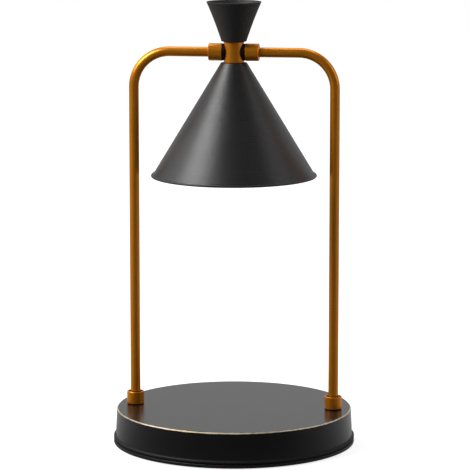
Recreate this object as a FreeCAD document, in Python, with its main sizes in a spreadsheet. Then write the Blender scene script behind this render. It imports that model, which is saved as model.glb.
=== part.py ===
import FreeCAD, Part
import math
import os
import re

import Sketcher
from FreeCAD import Placement, Rotation, Vector

# Candle warmer lamp: a weighted round base, two bent tubes that meet at a pivot,
# and a tilting head with a cup above, a cone shade below and a reflector bulb inside.
# Millimetres, +Z up, origin under the centre of the base, tubes along X, front towards -Y.

SIZES = {
    # Base
    "base_height": 22.7,
    "tube_edge_distance": 13.4,
    "cover_flange_width": 1.3,
    "cover_flange_height": 0.7,
    "cover_flange_curve": 0.9,
    "cover_taper": 0.8,
    "cover_sheet": 1.1,
    "cover_edge": 0.8,
    "shadow_gap": 1.1,
    "plate_rim_round": 0.4,
    "plate_thickness": 2.2,
    "plate_spigot_height": 2.3,
    "plate_spigot_wall": 1.6,
    "pad_inset": 2.6,
    "pad_width": 13.4,
    "pad_thickness": 1.0,
    "pad_recess": 0.6,
    "wiring_space": 8.9,
    "weight_bore": 6.0,
    "weight_edge": 1.0,
    "boss_circle": 40.0,
    "boss_wall": 1.0,
    "base_screw_radius": 1.5,
    "base_screw_length": 15.0,
    "base_screw_head_radius": 3.3,
    "base_screw_head_height": 1.6,
    # Cord inlet and wiring
    "inlet_rise": 7.8,
    "inlet_bore": 2.9,
    "inlet_wall": 1.1,
    "inlet_flange_width": 1.5,
    "inlet_flange_thickness": 1.3,
    "inlet_snap_height": 0.7,
    "inlet_snap_length": 1.6,
    "inlet_notch_depth": 8.0,
    "block_length": 26.0,
    "block_width": 12.0,
    "block_headroom": 0.9,
    "block_setback": 42.0,
    "block_pitch": 10.0,
    "block_wire_hole": 1.6,
    "block_screw_hole": 1.9,
    "lead_radius": 1.2,
    "lead_bend": 4.0,
    "lead_turn": 8.0,
    "lead_straight": 14.0,
    # Bent tube frame
    "shade_side_gap": 8.225,
    "tube_radius": 3.175,
    "tube_wall": 0.9,
    "tube_bend": 23.0,
    "tube_tail": 2.0,
    "bar_height": 253.1,
    "collar_wall": 2.425,
    "collar_edge": 0.35,
    "foot_collar_length": 8.1,
    "foot_cup_depth": 2.2,
    "foot_cup_lip": 0.7,
    "foot_washer_thickness": 0.4,
    "foot_washer_inset": 0.3,
    "foot_nut_flats": 11.0,
    "foot_nut_thickness": 4.0,
    "lock_washer_thickness": 1.0,
    "lock_washer_width": 3.0,
    "nut_pocket_room": 1.2,
    "nut_pocket_depth": 5.5,
    "bar_collar_length": 8.75,
    # Pivot
    "hub_radius": 6.5,
    "hub_flat_depth": 1.0,
    "hub_shoulder_above": 1.2,
    "hub_shoulder_below": 1.0,
    "hub_edge": 0.3,
    "hub_web": 0.2,
    "pivot_radius": 3.0,
    "pivot_wall": 1.0,
    "pivot_engagement": 5.0,
    "pivot_window": 7.0,
    "pivot_clearance": 0.05,
    "friction_washer_thickness": 1.8,
    "hub_side_gap": 0.1,
    # Upper cup
    "cup_ledge": 1.5,
    "cup_rim_radius": 17.6,
    "cup_height": 25.3,
    "cup_sheet": 0.8,
    "cup_curve": 229.0,
    "cup_foot_round": 0.7,
    "cup_lip_round": 0.24,
    "cup_screw_radius": 2.0,
    "cup_screw_head_radius": 3.5,
    "cup_screw_head_height": 2.2,
    "cup_washer_radius": 5.0,
    "cup_washer_thickness": 0.8,
    # Shade
    "shade_ledge": 1.75,
    "shade_rim_radius": 53.2,
    "shade_rim_flare": 0.55,
    "shade_height": 73.15,
    "shade_sheet": 0.8,
    "shade_bead": 0.7,
    "shade_top_round": 0.6,
    "nipple_radius": 4.0,
    "nipple_wall": 1.6,
    "nipple_web": 0.6,
    "nipple_tail": 0.8,
    "nipple_nut_flats": 11.0,
    "nipple_nut_thickness": 3.5,
    "shade_washer_width": 2.8,
    "shade_washer_thickness": 1.0,
    # Lamp holder
    "bracket_sheet": 0.8,
    "bracket_width": 10.6,
    "bracket_side_gap": 0.4,
    "bracket_foot": 4.3,
    "bracket_drop": 5.0,
    "holder_wall": 4.1,
    "holder_height": 15.0,
    "holder_edge": 0.8,
    "holder_plate": 3.2,
    "holder_cavity_height": 5.8,
    "holder_cavity_room": 0.9,
    "holder_screw_radius": 1.2,
    "holder_screw_length": 4.5,
    "holder_screw_head_radius": 2.0,
    "holder_screw_head_height": 1.4,
    "contact_width": 5.0,
    "contact_inner": 1.4,
    "wire_radius": 0.8,
    "wire_spacing": 2.4,
    "wire_entry": 1.2,
    # Bulb
    "pin_spacing": 10.0,
    "pin_neck_radius": 1.5,
    "pin_head_radius": 2.5,
    "pin_head_height": 2.0,
    "pin_clearance": 0.4,
    "pin_float": 0.3,
    "bulb_seat_gap": 0.3,
    "bulb_turn": 35.0,
    "bulb_base_wall": 1.4,
    "bulb_base_length": 12.0,
    "bulb_base_edge": 0.8,
    "bulb_neck_radius": 10.4,
    "bulb_neck_depth": 4.0,
    "bulb_face_radius": 25.0,
    "bulb_rim_height": 3.0,
    "bulb_length": 43.0,
    "bulb_glass": 1.4,
    "bulb_curve": 44.0,
    "lens_thickness": 1.8,
    "capsule_radius": 4.6,
    "capsule_length": 17.0,
    "capsule_tip_round": 2.6,
    # Clearances
    "thread_clearance": 0.04,
    "sleeve_clearance": 0.06,
    "hole_clearance": 0.2,
    "shell_clearance": 0.4,
    "weight_clearance": 0.8,
    "screw_end_gap": 0.5,
}

FULL_TURN = 360.0
RIGHT_ANGLE = 90.0
SIDES = {"left": -1, "right": 1}
NUT_SIDES = 6
BASE_SCREWS = 3
PAIR = 2
VOLUME_TOLERANCE = 0.002
EDGE_TOLERANCE = 1e-4
DEGREE = "1 deg"

# Places and sizes that several pieces share, as formulas of the sizes above
TUBE_ACROSS = "(shade_rim_radius + shade_side_gap + tube_radius)"
BASE_RADIUS = f"({TUBE_ACROSS} + tube_edge_distance)"
COVER_FOOT_RADIUS = f"({BASE_RADIUS} - cover_flange_width)"
COVER_TOP_RADIUS = f"({COVER_FOOT_RADIUS} - cover_taper)"
PAD_OUTER_RADIUS = f"({BASE_RADIUS} - pad_inset)"
PAD_INNER_RADIUS = f"({PAD_OUTER_RADIUS} - pad_width)"
PLATE_UNDERSIDE = "(pad_thickness - pad_recess)"
PLATE_TOP = f"({PLATE_UNDERSIDE} + plate_thickness)"
COVER_FOOT = f"({PLATE_TOP} + shadow_gap)"
COVER_CURVE_TOP = f"({COVER_FOOT} + cover_flange_height + cover_flange_curve)"
COVER_CEILING = "(base_height - cover_sheet)"
WEIGHT_UNDERSIDE = f"({PLATE_TOP} + wiring_space)"
WEIGHT_THICKNESS = f"({COVER_CEILING} - {WEIGHT_UNDERSIDE})"
WEIGHT_RADIUS = f"({COVER_TOP_RADIUS} - cover_sheet - weight_clearance)"
LOCK_WASHER_RADIUS = "(tube_radius + lock_washer_width)"
POCKET_CEILING = f"({WEIGHT_UNDERSIDE} + nut_pocket_depth)"
LOCK_WASHER_UNDERSIDE = f"({POCKET_CEILING} - lock_washer_thickness)"
FOOT_NUT_UNDERSIDE = f"({LOCK_WASHER_UNDERSIDE} - foot_nut_thickness)"
TUBE_FOOT = f"({FOOT_NUT_UNDERSIDE} - tube_tail)"
COLLAR_RADIUS = "(tube_radius + collar_wall)"
FOOT_COLLAR_BOTTOM = "(base_height + foot_washer_thickness)"
INLET_HEIGHT = f"({COVER_FOOT} + inlet_rise)"
INLET_NECK_RADIUS = "(inlet_bore + inlet_wall)"
INLET_FLANGE_RADIUS = f"({INLET_NECK_RADIUS} + inlet_flange_width)"
INLET_SNAP_RADIUS = f"({INLET_NECK_RADIUS} + inlet_snap_height)"
BLOCK_HEIGHT = "(wiring_space - block_headroom)"
BLOCK_WIRE_HEIGHT = f"({PLATE_TOP} + {BLOCK_HEIGHT} / 3)"
BASE_SCREW_SEAT = f"({PLATE_UNDERSIDE} + base_screw_head_height + hole_clearance)"
HEAD_SEAT_RADIUS = "(base_screw_head_radius + hole_clearance)"
HUB_HALF_FLATS = "(hub_radius - hub_flat_depth)"
HUB_RISE = f"({COLLAR_RADIUS} + hub_shoulder_above)"
HUB_DROP = f"({COLLAR_RADIUS} + hub_shoulder_below)"
HUB_TOP = f"(bar_height + {HUB_RISE})"
HUB_BOTTOM = f"(bar_height - {HUB_DROP})"
BAR_COLLAR_START = f"({HUB_HALF_FLATS} + hub_side_gap + friction_washer_thickness)"
PIVOT_HALF_LENGTH = f"({BAR_COLLAR_START} + pivot_engagement)"
CUP_SCREW_HOLE = f"({HUB_RISE} - pivot_radius - pivot_clearance - hub_web)"
CUP_FOOT_RADIUS = "(hub_radius + cup_ledge)"
CUP_SLOPE = f"((cup_rim_radius - {CUP_FOOT_RADIUS}) / cup_height)"
CUP_WALL = f"(cup_sheet * sqrt(1 + {CUP_SLOPE} ^ 2))"
SHADE_TOP_RADIUS = "(hub_radius + shade_ledge)"
SHADE_SKIRT_RADIUS = "(shade_rim_radius - shade_rim_flare)"
SHADE_SLOPE = f"(({SHADE_SKIRT_RADIUS} - {SHADE_TOP_RADIUS}) / shade_height)"
SHADE_WALL = f"(shade_sheet * sqrt(1 + {SHADE_SLOPE} ^ 2))"
SHADE_CEILING = f"({HUB_BOTTOM} - shade_sheet)"
NIPPLE_ENGAGEMENT = f"({HUB_DROP} - pivot_radius - nipple_web)"
NIPPLE_BORE = "(nipple_radius - nipple_wall)"
NUT_CEILING = f"({SHADE_CEILING} - shade_washer_thickness)"
BRACKET_TOP = f"({NUT_CEILING} - nipple_nut_thickness)"
LOWER_NUT_CEILING = f"({BRACKET_TOP} - bracket_sheet)"
NIPPLE_END = f"({LOWER_NUT_CEILING} - nipple_nut_thickness - nipple_tail)"
HOLDER_TOP = f"({LOWER_NUT_CEILING} - bracket_drop)"
HOLDER_FACE = f"({HOLDER_TOP} - holder_height)"
BRACKET_INSIDE = "(nipple_nut_flats / 2 + bracket_side_gap)"
BRACKET_OUTSIDE = f"({BRACKET_INSIDE} + bracket_sheet)"
HOLDER_SCREW_ACROSS = f"({BRACKET_OUTSIDE} + holder_screw_head_radius + bracket_side_gap)"
CAVITY_RADIUS = "(pin_spacing / 2 + pin_head_radius + holder_cavity_room)"
CAVITY_TOP = "(holder_plate + holder_cavity_height)"
CAVITY_CEILING = f"({HOLDER_FACE} + {CAVITY_TOP})"
HOLDER_RADIUS = f"({CAVITY_RADIUS} + holder_wall)"
BULB_SEAT = f"({HOLDER_FACE} - bulb_seat_gap)"
BULB_FACE = f"({BULB_SEAT} - bulb_length)"
PIN_NECK_LENGTH = "(bulb_seat_gap + holder_plate + pin_float)"

document = FreeCAD.newDocument("CandleWarmerLamp")
sheet = document.addObject("Spreadsheet::Sheet", "Sizes")
subparts = []


def fill_sheet():
    """Writes each driving size beside its name, under an alias."""
    for row, (name, number) in enumerate(SIZES.items(), start=1):
        sheet.set(f"A{row}", name)
        sheet.set(f"B{row}", str(number))
        sheet.setAlias(f"B{row}", name)
    document.recompute()


def formula(text):
    """Turns names of sizes into references to the sheet."""
    return re.sub(r"[a-z][a-z_]*", lambda word: name_in_sheet(word.group()), str(text))


def name_in_sheet(word):
    return f"Sizes.{word}" if word in SIZES else word


def size(text):
    """Number that a formula of size names gives."""
    return float(sheet.evalExpression(formula(text)))


def origin_part(body, role):
    """Origin plane or axis of a body, such as XY_Plane or Z_Axis."""
    return next(item for item in body.Origin.OriginFeatures if item.Role == role)


def new_body(label):
    body = document.addObject("PartDesign::Body", label)
    body.Label = label
    subparts.append(body)
    return body


def place(body, across="0", back="0", up="0", rotation=None):
    """Puts a finished body where formulas of sizes say."""
    if rotation:
        body.Placement = Placement(Vector(), rotation)
    for axis, text in (("x", across), ("y", back), ("z", up)):
        body.setExpression(f".Placement.Base.{axis}", formula(text))


def attach(feature, body, plane="XY_Plane", across="0", back="0", up="0", rotation=None):
    """Attaches a sketch or a primitive to an origin plane of its own body."""
    feature.AttachmentSupport = [(origin_part(body, plane), "")]
    feature.MapMode = "FlatFace"
    if rotation:
        feature.AttachmentOffset = Placement(Vector(), rotation)
    for axis, text in (("x", across), ("y", back), ("z", up)):
        if text != "0":
            feature.setExpression(f".AttachmentOffset.Base.{axis}", formula(text))


def bind(sketch, kind, text, *where):
    """Adds a constraint whose value is a formula of sizes."""
    row = sketch.addConstraint(Sketcher.Constraint(kind, *where, size(text)))
    sketch.setExpression(f"Constraints[{row}]", formula(text))


def curved_edge(start, end, radius):
    """Arc from start to end. A positive radius bulges to the right of the way from start to end."""
    chord = end - start
    side = Vector(chord.y, -chord.x, 0).normalize()
    bulge = abs(radius) - math.sqrt(radius * radius - chord.Length ** 2 / 4)
    middle = (start + end) / 2 + side * math.copysign(bulge, radius)
    if radius > 0:
        return Part.Arc(start, middle, end)
    return Part.Arc(end, middle, start)


def draw(sketch, corners, closed=True):
    """Draws straight edges through corners of (across, up), or an arc where a corner adds a radius."""
    points = [Vector(size(corner[0]), size(corner[1]), 0) for corner in corners]
    count = len(corners) if closed else len(corners) - 1
    ends = []
    for index in range(count):
        start = points[index]
        end = points[(index + 1) % len(points)]
        if len(corners[index]) == 2:
            sketch.addGeometry(Part.LineSegment(start, end), False)
            ends.append((1, 2))
            continue
        radius = size(corners[index][2])
        sketch.addGeometry(curved_edge(start, end, radius), False)
        ends.append((1, 2) if radius > 0 else (2, 1))
    for index in range(count if closed else count - 1):
        after = (index + 1) % count
        sketch.addConstraint(
            Sketcher.Constraint("Coincident", index, ends[index][1], after, ends[after][0])
        )
    for index, corner in enumerate(corners):
        edge, end = (index, ends[index][0]) if index < count else (count - 1, ends[-1][1])
        bind(sketch, "DistanceX", corner[0], -1, 1, edge, end)
        bind(sketch, "DistanceY", corner[1], -1, 1, edge, end)
        if len(corner) == 3:
            bind(sketch, "Radius", corner[2].lstrip("-"), index)


def turn(body, corners, name="Turned", across="0"):
    """Revolves a closed outline of (radius, height) corners about an upright axis."""
    sketch = body.newObject("Sketcher::SketchObject", f"{name}Outline")
    attach(sketch, body, "XZ_Plane", across=across)
    draw(sketch, corners)
    feature = body.newObject("PartDesign::Revolution", name)
    feature.Profile = (sketch, [""])
    feature.ReferenceAxis = (sketch, ["V_Axis"])
    feature.Angle = FULL_TURN
    document.recompute()
    return feature


def ring(body, inner, outer, bottom, top, across="0"):
    """Turns a plain ring or sleeve."""
    corners = [(inner, bottom), (outer, bottom), (outer, top), (inner, top)]
    return turn(body, corners, "Ring", across)


def drill(body, name, radius, length, **where):
    """Cuts a round hole from the place given, along the attached axis."""
    return cylinder(body, "PartDesign::SubtractiveCylinder", name, radius, length, where)


def boss(body, name, radius, length, **where):
    """Adds a round boss."""
    return cylinder(body, "PartDesign::AdditiveCylinder", name, radius, length, where)


def cylinder(body, kind, name, radius, length, where):
    feature = body.newObject(kind, name)
    attach(feature, body, **where)
    feature.setExpression("Radius", formula(radius))
    feature.setExpression("Height", formula(length))
    document.recompute()
    return feature


def block(body, kind, name, length, width, height, **where):
    """Adds or cuts a box whose corner lies at the place given."""
    feature = body.newObject(kind, name)
    attach(feature, body, **where)
    for side, text in (("Length", length), ("Width", width), ("Height", height)):
        feature.setExpression(side, formula(text))
    document.recompute()
    return feature


def repeat(body, features, count, name="Repeat"):
    """Repeats features evenly about the body's upright axis."""
    pattern = body.newObject("PartDesign::PolarPattern", name)
    pattern.Originals = features
    pattern.Axis = (origin_part(body, "Z_Axis"), [""])
    pattern.Angle = FULL_TURN
    pattern.Occurrences = count
    body.Tip = pattern
    document.recompute()
    return pattern


def soften(body, kind, amount, circles, name):
    """Rounds or bevels the circular edges with the (radius, height) pairs given."""
    feature = body.newObject(kind, name)
    base = feature.BaseFeature or body.Tip
    wanted = [(size(radius), size(height)) for radius, height in circles]
    picked = []
    for number, edge in enumerate(base.Shape.Edges, start=1):
        curve = edge.Curve
        if curve.TypeId != "Part::GeomCircle":
            continue
        for radius, height in wanted:
            if math.isclose(curve.Radius, radius, abs_tol=EDGE_TOLERANCE) and math.isclose(
                curve.Center.z, height, abs_tol=EDGE_TOLERANCE
            ):
                picked.append(f"Edge{number}")
    if len(picked) < len(wanted):
        raise ValueError(f"{body.Label}: an edge to soften is missing")
    feature.Base = (base, picked)
    feature.setExpression("Radius" if kind.endswith("Fillet") else "Size", formula(amount))
    document.recompute()
    return feature


def round_off(body, amount, circles, name="Rounds"):
    return soften(body, "PartDesign::Fillet", amount, circles, name)


def bevel(body, amount, circles, name="Bevels"):
    return soften(body, "PartDesign::Chamfer", amount, circles, name)


def hex_nut(label, flats, thickness, bore):
    """Hexagon nut with bevelled corners, standing on its own origin."""
    body = new_body(label)
    corner_radius = f"({flats}) / (2 * cos({FULL_TURN / NUT_SIDES / 2} * {DEGREE}))"
    nut_blank(body, corner_radius, flats, thickness, bore)
    return body


def nut_blank(body, corner_radius, flats, thickness, bore, across="0"):
    """Turns a bevelled blank and cuts six flats on it."""
    bevel_height = f"(({corner_radius}) - ({flats}) / 2)"
    corners = [
        (bore, "0"),
        (f"({flats}) / 2", "0"),
        (corner_radius, bevel_height),
        (corner_radius, f"({thickness}) - {bevel_height}"),
        (f"({flats}) / 2", thickness),
        (bore, thickness),
    ]
    blank = turn(body, corners, "Blank", across)
    sketch = body.newObject("Sketcher::SketchObject", "FlatsOutline")
    attach(sketch, body, "XY_Plane", across=across)
    near = f"({flats}) / 2"
    far = f"({flats})"
    draw(sketch, [(near, f"-{far}"), (far, f"-{far}"), (far, far), (near, far)])
    flat = body.newObject("PartDesign::Pocket", "Flat")
    flat.Profile = (sketch, [""])
    flat.Type = "ThroughAll"
    flat.Midplane = True
    document.recompute()
    pattern = body.newObject("PartDesign::PolarPattern", "Flats")
    pattern.Originals = [flat]
    pattern.Axis = (sketch, ["N_Axis"])
    pattern.Angle = FULL_TURN
    pattern.Occurrences = NUT_SIDES
    body.Tip = pattern
    document.recompute()
    if not pattern.Shape.Volume < blank.Shape.Volume:
        raise ValueError(f"{body.Label}: the flats cut nothing")
    return pattern


def dome(radius, rise):
    """Radius of the ball whose cap has the radius and rise given."""
    return f"((({radius}) ^ 2 + ({rise}) ^ 2) / (2 * ({rise})))"


def foot_pad():
    body = new_body("foot_pad")
    ring(body, PAD_INNER_RADIUS, PAD_OUTER_RADIUS, "0", "pad_thickness")


def bottom_plate():
    body = new_body("bottom_plate")
    spigot_radius = f"({COVER_FOOT_RADIUS} - cover_sheet - shell_clearance)"
    recess_inner = f"{PAD_INNER_RADIUS} - hole_clearance"
    recess_outer = f"{PAD_OUTER_RADIUS} + hole_clearance"
    corners = [
        ("0", PLATE_UNDERSIDE),
        (recess_inner, PLATE_UNDERSIDE),
        (recess_inner, "pad_thickness"),
        (recess_outer, "pad_thickness"),
        (recess_outer, PLATE_UNDERSIDE),
        (BASE_RADIUS, PLATE_UNDERSIDE),
        (BASE_RADIUS, PLATE_TOP),
        (COVER_FOOT_RADIUS, PLATE_TOP),
        (COVER_FOOT_RADIUS, COVER_FOOT),
        (spigot_radius, COVER_FOOT),
        (spigot_radius, f"{COVER_FOOT} + plate_spigot_height"),
        (f"{spigot_radius} - plate_spigot_wall", f"{COVER_FOOT} + plate_spigot_height"),
        (f"{spigot_radius} - plate_spigot_wall", PLATE_TOP),
        ("0", PLATE_TOP),
    ]
    turn(body, corners, "Plate")
    rim = [(BASE_RADIUS, PLATE_UNDERSIDE), (BASE_RADIUS, PLATE_TOP)]
    round_off(body, "plate_rim_round", rim, "RimRounds")
    boss_radius = f"{HEAD_SEAT_RADIUS} + boss_wall"
    post = boss(body, "Boss", boss_radius, "wiring_space", across="boss_circle", up=PLATE_TOP)
    repeat(body, [post], BASE_SCREWS, "Bosses")
    through = drill(
        body, "ScrewHole", "base_screw_radius + hole_clearance", WEIGHT_UNDERSIDE, across="boss_circle"
    )
    seat = drill(body, "HeadSeat", HEAD_SEAT_RADIUS, BASE_SCREW_SEAT, across="boss_circle")
    repeat(body, [through, seat], BASE_SCREWS, "ScrewHoles")


def bottom_screws():
    body = new_body("bottom_screws")
    shank_end = f"({BASE_SCREW_SEAT} + base_screw_length)"
    crown_rise = "base_screw_head_height / 2"
    corners = [
        ("0", f"{BASE_SCREW_SEAT} - base_screw_head_height", dome("base_screw_head_radius", crown_rise)),
        ("base_screw_head_radius", f"{BASE_SCREW_SEAT} - {crown_rise}"),
        ("base_screw_head_radius", BASE_SCREW_SEAT),
        ("base_screw_radius", BASE_SCREW_SEAT),
        ("base_screw_radius", f"{shank_end} - base_screw_radius / 2"),
        ("base_screw_radius / 2", shank_end),
        ("0", shank_end),
    ]
    one = turn(body, corners, "Screw", "boss_circle")
    repeat(body, [one], BASE_SCREWS, "Screws")


def base_weight():
    body = new_body("base_weight")
    ring(body, "weight_bore", WEIGHT_RADIUS, WEIGHT_UNDERSIDE, COVER_CEILING)
    edges = [(WEIGHT_RADIUS, WEIGHT_UNDERSIDE), (WEIGHT_RADIUS, COVER_CEILING)]
    bevel(body, "weight_edge", edges, "RimBevels")
    pocket = drill(
        body, "NutPocket", f"{LOCK_WASHER_RADIUS} + nut_pocket_room", "nut_pocket_depth",
        across=TUBE_ACROSS, up=WEIGHT_UNDERSIDE,
    )
    passage = drill(
        body, "TubeHole", "tube_radius + hole_clearance", WEIGHT_THICKNESS,
        across=TUBE_ACROSS, up=WEIGHT_UNDERSIDE,
    )
    repeat(body, [pocket, passage], PAIR, "TubeSeats")
    depth = f"{BASE_SCREW_SEAT} + base_screw_length + screw_end_gap - {WEIGHT_UNDERSIDE}"
    tapped = drill(
        body, "TappedHole", "base_screw_radius + thread_clearance", depth,
        across="boss_circle", up=WEIGHT_UNDERSIDE,
    )
    repeat(body, [tapped], BASE_SCREWS, "TappedHoles")
    notch_width = f"(2 * ({INLET_FLANGE_RADIUS} + weight_clearance))"
    notch_top = f"({INLET_HEIGHT} + {INLET_SNAP_RADIUS} + weight_clearance)"
    block(
        body, "PartDesign::SubtractiveBox", "InletNotch",
        notch_width, "2 * inlet_notch_depth", f"{notch_top} - {WEIGHT_UNDERSIDE}",
        across=f"-{notch_width} / 2", back=f"{WEIGHT_RADIUS} - inlet_notch_depth", up=WEIGHT_UNDERSIDE,
    )


def base_cover():
    body = new_body("base_cover")
    flange_top = f"{COVER_FOOT} + cover_flange_height"
    corners = [
        ("0", "base_height"),
        ("0", COVER_CEILING),
        (f"{COVER_TOP_RADIUS} - cover_sheet", COVER_CEILING),
        (f"{COVER_FOOT_RADIUS} - cover_sheet", COVER_FOOT),
        (BASE_RADIUS, COVER_FOOT),
        (BASE_RADIUS, flange_top),
        (f"{COVER_FOOT_RADIUS} + cover_flange_curve / 2", flange_top, "-cover_flange_curve"),
        (COVER_FOOT_RADIUS, COVER_CURVE_TOP),
        (COVER_TOP_RADIUS, "base_height - cover_edge"),
        (f"{COVER_TOP_RADIUS} - cover_edge", "base_height"),
    ]
    turn(body, corners, "Shell")
    hole = drill(
        body, "TubeHole", "tube_radius + hole_clearance", "cover_sheet",
        across=TUBE_ACROSS, up=COVER_CEILING,
    )
    repeat(body, [hole], PAIR, "TubeHoles")
    before = body.Shape.Volume
    drill(
        body, "InletHole", f"{INLET_NECK_RADIUS} + hole_clearance", BASE_RADIUS,
        plane="XZ_Plane", back=INLET_HEIGHT, rotation=Rotation(Vector(1, 0, 0), 2 * RIGHT_ANGLE),
    )
    if not body.Shape.Volume < before:
        raise ValueError("base_cover: the inlet hole cuts nothing")


def cord_bush():
    """Snap-in bush whose neck allows for the wall's lean and bow."""
    body = new_body("cord_bush")
    lean = f"(cover_taper / (base_height - cover_edge - {COVER_CURVE_TOP}))"
    bow = f"{INLET_SNAP_RADIUS} ^ 2 / (2 * ({COVER_TOP_RADIUS} - cover_sheet))"
    neck = f"(cover_sheet + 2 * {INLET_FLANGE_RADIUS} * {lean} + {bow} + hole_clearance)"
    corners = [
        ("inlet_bore", f"-{neck} - inlet_snap_length"),
        (INLET_NECK_RADIUS, f"-{neck} - inlet_snap_length"),
        (INLET_SNAP_RADIUS, f"-{neck} - hole_clearance"),
        (INLET_SNAP_RADIUS, f"-{neck}"),
        (INLET_NECK_RADIUS, f"-{neck}"),
        (INLET_NECK_RADIUS, "0"),
        (INLET_FLANGE_RADIUS, "0"),
        (INLET_FLANGE_RADIUS, "inlet_flange_thickness / 2"),
        (f"{INLET_FLANGE_RADIUS} - inlet_flange_thickness / 2", "inlet_flange_thickness"),
        ("inlet_bore", "inlet_flange_thickness"),
    ]
    turn(body, corners, "Bush")
    facing_back = Rotation(Vector(1, 0, 0), -RIGHT_ANGLE)
    place(body, back=COVER_FOOT_RADIUS, up=INLET_HEIGHT, rotation=facing_back)


def terminal_block():
    body = new_body("terminal_block")
    block(
        body, "PartDesign::AdditiveBox", "Housing", "block_length", "block_width", BLOCK_HEIGHT,
        across="-block_length / 2", back="-block_width / 2",
    )
    for name, way in (("Left", "-"), ("Right", "")):
        across = f"{way}block_pitch / 2"
        drill(
            body, f"{name}WireHole", "block_wire_hole", "block_width",
            plane="XZ_Plane", across=across, back=f"{BLOCK_HEIGHT} / 3", up="-block_width / 2",
        )
        drill(
            body, f"{name}ScrewWell", "block_screw_hole", f"{BLOCK_HEIGHT} / 2",
            across=across, up=f"{BLOCK_HEIGHT} / 2",
        )
    drill(body, "FixingHole", "block_screw_hole", BLOCK_HEIGHT)
    place(body, back="block_setback", up=PLATE_TOP)


def tube_path(body, sign):
    """Upright run, bend and bar run of one tube, as a sketch seen from the front."""
    sketch = body.newObject("Sketcher::SketchObject", "Path")
    attach(sketch, body, "XZ_Plane")
    upright = f"{sign} * {TUBE_ACROSS}"
    bar_bend = f"{sign} * ({TUBE_ACROSS} - tube_bend)"
    bar_end = f"{sign} * ({PIVOT_HALF_LENGTH} + hole_clearance)"
    bend = "tube_bend" if sign > 0 else "-tube_bend"
    corners = [
        (upright, TUBE_FOOT),
        (upright, "bar_height - tube_bend", bend),
        (bar_bend, "bar_height"),
        (bar_end, "bar_height"),
    ]
    draw(sketch, corners, closed=False)
    return sketch


def bent_tube(side, sign):
    body = new_body(f"{side}_post")
    path = tube_path(body, sign)
    section = body.newObject("Sketcher::SketchObject", "Section")
    attach(section, body, "XY_Plane", across=f"{sign} * {TUBE_ACROSS}", up=TUBE_FOOT)
    for index, radius in enumerate(("tube_radius", "tube_radius - tube_wall")):
        section.addGeometry(Part.Circle(Vector(), Vector(0, 0, 1), size(radius)), False)
        section.addConstraint(Sketcher.Constraint("Coincident", index, 3, -1, 1))
        bind(section, "Radius", radius, index)
    document.recompute()
    pipe = body.newObject("PartDesign::AdditivePipe", "Tube")
    pipe.Profile = (section, [""])
    pipe.Spine = (path, ["Edge1", "Edge2", "Edge3"])
    document.recompute()
    wall_area = math.pi * (size("tube_radius") ** 2 - size("tube_radius - tube_wall") ** 2)
    expected = wall_area * path.Shape.Length
    if not math.isclose(body.Shape.Volume, expected, rel_tol=VOLUME_TOLERANCE):
        raise ValueError(f"{side}_post: volume differs from section times length")


def foot_collar(side, sign):
    body = new_body(f"{side}_foot_collar")
    bore = "(tube_radius + sleeve_clearance)"
    corners = [
        (bore, "0"),
        (f"{COLLAR_RADIUS} - collar_edge", "0"),
        (COLLAR_RADIUS, "collar_edge"),
        (COLLAR_RADIUS, "foot_collar_length - collar_edge"),
        (f"{COLLAR_RADIUS} - collar_edge", "foot_collar_length"),
        (f"{COLLAR_RADIUS} - foot_cup_lip", "foot_collar_length"),
        (bore, "foot_collar_length - foot_cup_depth"),
    ]
    turn(body, corners, "Sleeve")
    place(body, across=f"{sign} * {TUBE_ACROSS}", up=FOOT_COLLAR_BOTTOM)


def foot_washers():
    body = new_body("foot_washers")
    one = ring(
        body, "tube_radius + sleeve_clearance", f"{COLLAR_RADIUS} - foot_washer_inset",
        "base_height", FOOT_COLLAR_BOTTOM, TUBE_ACROSS,
    )
    repeat(body, [one], PAIR, "Washers")


def foot_lock_washers():
    body = new_body("foot_lock_washers")
    one = ring(
        body, "tube_radius + sleeve_clearance", LOCK_WASHER_RADIUS,
        LOCK_WASHER_UNDERSIDE, POCKET_CEILING, TUBE_ACROSS,
    )
    repeat(body, [one], PAIR, "Washers")


def foot_nut(side, sign):
    body = hex_nut(
        f"{side}_foot_nut", "foot_nut_flats", "foot_nut_thickness", "tube_radius + thread_clearance"
    )
    place(body, across=f"{sign} * {TUBE_ACROSS}", up=FOOT_NUT_UNDERSIDE)


def bar_collar(side, sign):
    """Sleeve that takes the tube at one end and the pivot tube's thread at the other."""
    body = new_body(f"{side}_bar_collar")
    thread = "(pivot_radius + thread_clearance)"
    bore = "(tube_radius + sleeve_clearance)"
    shoulder = "(pivot_engagement + hole_clearance / 2)"
    corners = [
        (thread, "0"),
        (f"{COLLAR_RADIUS} - collar_edge", "0"),
        (COLLAR_RADIUS, "collar_edge"),
        (COLLAR_RADIUS, "bar_collar_length - collar_edge"),
        (f"{COLLAR_RADIUS} - collar_edge", "bar_collar_length"),
        (bore, "bar_collar_length"),
        (bore, shoulder),
        (thread, shoulder),
    ]
    turn(body, corners, "Sleeve")
    outwards = Rotation(Vector(0, 1, 0), sign * RIGHT_ANGLE)
    place(body, across=f"{sign} * {BAR_COLLAR_START}", up="bar_height", rotation=outwards)


def friction_washer(side, sign):
    body = new_body(f"{side}_friction_washer")
    ring(
        body, "pivot_radius + thread_clearance", f"{COLLAR_RADIUS} - collar_edge / 2",
        "0", "friction_washer_thickness",
    )
    outwards = Rotation(Vector(0, 1, 0), sign * RIGHT_ANGLE)
    seat = f"{sign} * ({HUB_HALF_FLATS} + hub_side_gap)"
    place(body, across=seat, up="bar_height", rotation=outwards)


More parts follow.
